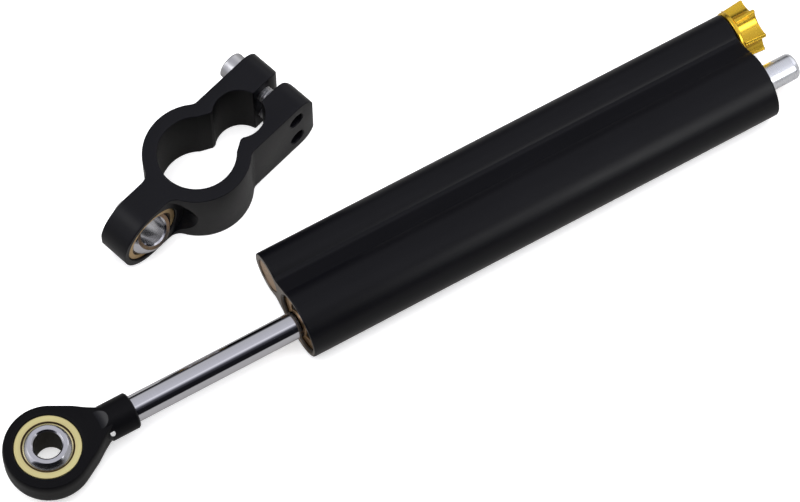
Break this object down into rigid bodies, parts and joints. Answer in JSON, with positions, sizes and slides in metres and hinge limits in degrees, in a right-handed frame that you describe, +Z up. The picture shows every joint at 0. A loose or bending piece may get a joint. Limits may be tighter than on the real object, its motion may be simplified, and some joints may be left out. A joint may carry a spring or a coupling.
{
  "type": "motorcycle steering damper",
  "caption": "Linear hydraulic steering damper with a through rod, a spherical rod end and an adjuster knob, beside its loose two-hole clamp bracket.",
  "frame": {"origin": "centre of the bore through the rod end's ball", "axes": "+X along the piston rod from the rod end to the body, +Z up along the rod end ball's bore, +Y towards the small tube and the clamp"},
  "size_m": [0.2579, 0.0933, 0.0224],
  "materials": {
    "black_anodised": "satin black anodised aluminium",
    "black_rod_end": "satin black anodised aluminium",
    "bronze": "turned bronze",
    "copper_plug": "turned copper alloy",
    "race_brass": "turned brass",
    "chrome": "ground and hard chromed",
    "ball_chrome": "polished chrome",
    "gold_anodised": "gold anodised aluminium",
    "plain_aluminium": "turned aluminium",
    "seal_rubber": "moulded rubber",
    "band_plastic": "filled plastic",
    "spring_steel": "blackened spring steel",
    "screw_steel": "stainless steel"
  },
  "bodies": {
    "damper_body": {"body_profile": "black_anodised", "front_gland": "bronze", "front_bushing": "bronze", "front_rod_seal": "seal_rubber", "front_wiper": "seal_rubber", "front_gland_o_ring": "seal_rubber", "front_circlip": "spring_steel", "rear_gland": "bronze", "rear_bushing": "bronze", "rear_rod_seal": "seal_rubber", "rear_wiper": "seal_rubber", "rear_gland_o_ring": "seal_rubber", "rear_circlip": "spring_steel", "side_plug": "copper_plug", "side_plug_o_ring": "seal_rubber", "valve_seat": "bronze", "valve_seat_o_ring": "seal_rubber", "adjuster_housing": "bronze", "housing_o_ring": "seal_rubber", "housing_ring": "spring_steel"},
    "floating_piston": {"floating_piston": "plain_aluminium", "floating_piston_o_ring": "seal_rubber"},
    "piston": {"piston": "plain_aluminium", "piston_band": "band_plastic", "piston_o_ring": "seal_rubber"},
    "rod": {"piston_rod": "chrome", "rod_end": "black_rod_end", "piston_clip_front": "spring_steel", "piston_clip_rear": "spring_steel"},
    "rod_end_race": {"rod_end_race": "race_brass"},
    "rod_end_ball": {"rod_end_ball": "ball_chrome"},
    "adjuster": {"adjuster_spindle": "screw_steel", "adjuster_knob": "gold_anodised", "knob_screw": "screw_steel", "spindle_o_ring": "seal_rubber", "detent_plunger": "screw_steel", "needle": "screw_steel"},
    "clamp": {"clamp_bracket": "black_anodised", "clamp_screw_upper": "screw_steel", "clamp_screw_lower": "screw_steel"},
    "clamp_race": {"clamp_race": "race_brass"},
    "clamp_ball": {"clamp_ball": "ball_chrome"}
  },
  "joints": [
    {"name": "rod_slide", "type": "slide", "parent": "damper_body", "child": "piston", "axis": [1, 0, 0], "range_m": [-0.009, 0.05]},
    {"name": "rod_turn", "type": "hinge", "parent": "piston", "child": "rod", "pos_m": [0, 0, 0], "axis": [1, 0, 0], "continuous": true},
    {"name": "race_turn", "type": "hinge", "parent": "rod", "child": "rod_end_race", "pos_m": [0, 0, 0], "axis": [0, 0, 1], "continuous": true},
    {"name": "rod_ball_tilt", "type": "hinge", "parent": "rod_end_race", "child": "rod_end_ball", "pos_m": [0, 0, 0], "axis": [1, 0, 0], "range_deg": [-12, 12]},
    {"name": "adjuster_turn", "type": "hinge", "parent": "damper_body", "child": "adjuster", "pos_m": [0.2332, 0.0171, 0], "axis": [1, 0, 0], "range_deg": [-180, 180]},
    {"name": "floating_piston_travel", "type": "slide", "parent": "damper_body", "child": "floating_piston", "axis": [1, 0, 0], "range_m": [-0.004, 0.004]},
    {"name": "clamp_lift", "type": "slide", "parent": "damper_body", "child": "clamp", "axis": [0, 0, 1], "range_m": [0, 0.1]},
    {"name": "clamp_race_turn", "type": "hinge", "parent": "clamp", "child": "clamp_race", "pos_m": [0.05542, 0.04914, 0.0006], "axis": [-0.2907, 0.9568, 0], "continuous": true},
    {"name": "clamp_ball_tilt", "type": "hinge", "parent": "clamp_race", "child": "clamp_ball", "pos_m": [0.05542, 0.04914, 0.0006], "axis": [0.9568, 0.2907, 0], "range_deg": [0, 42]}
  ]
}
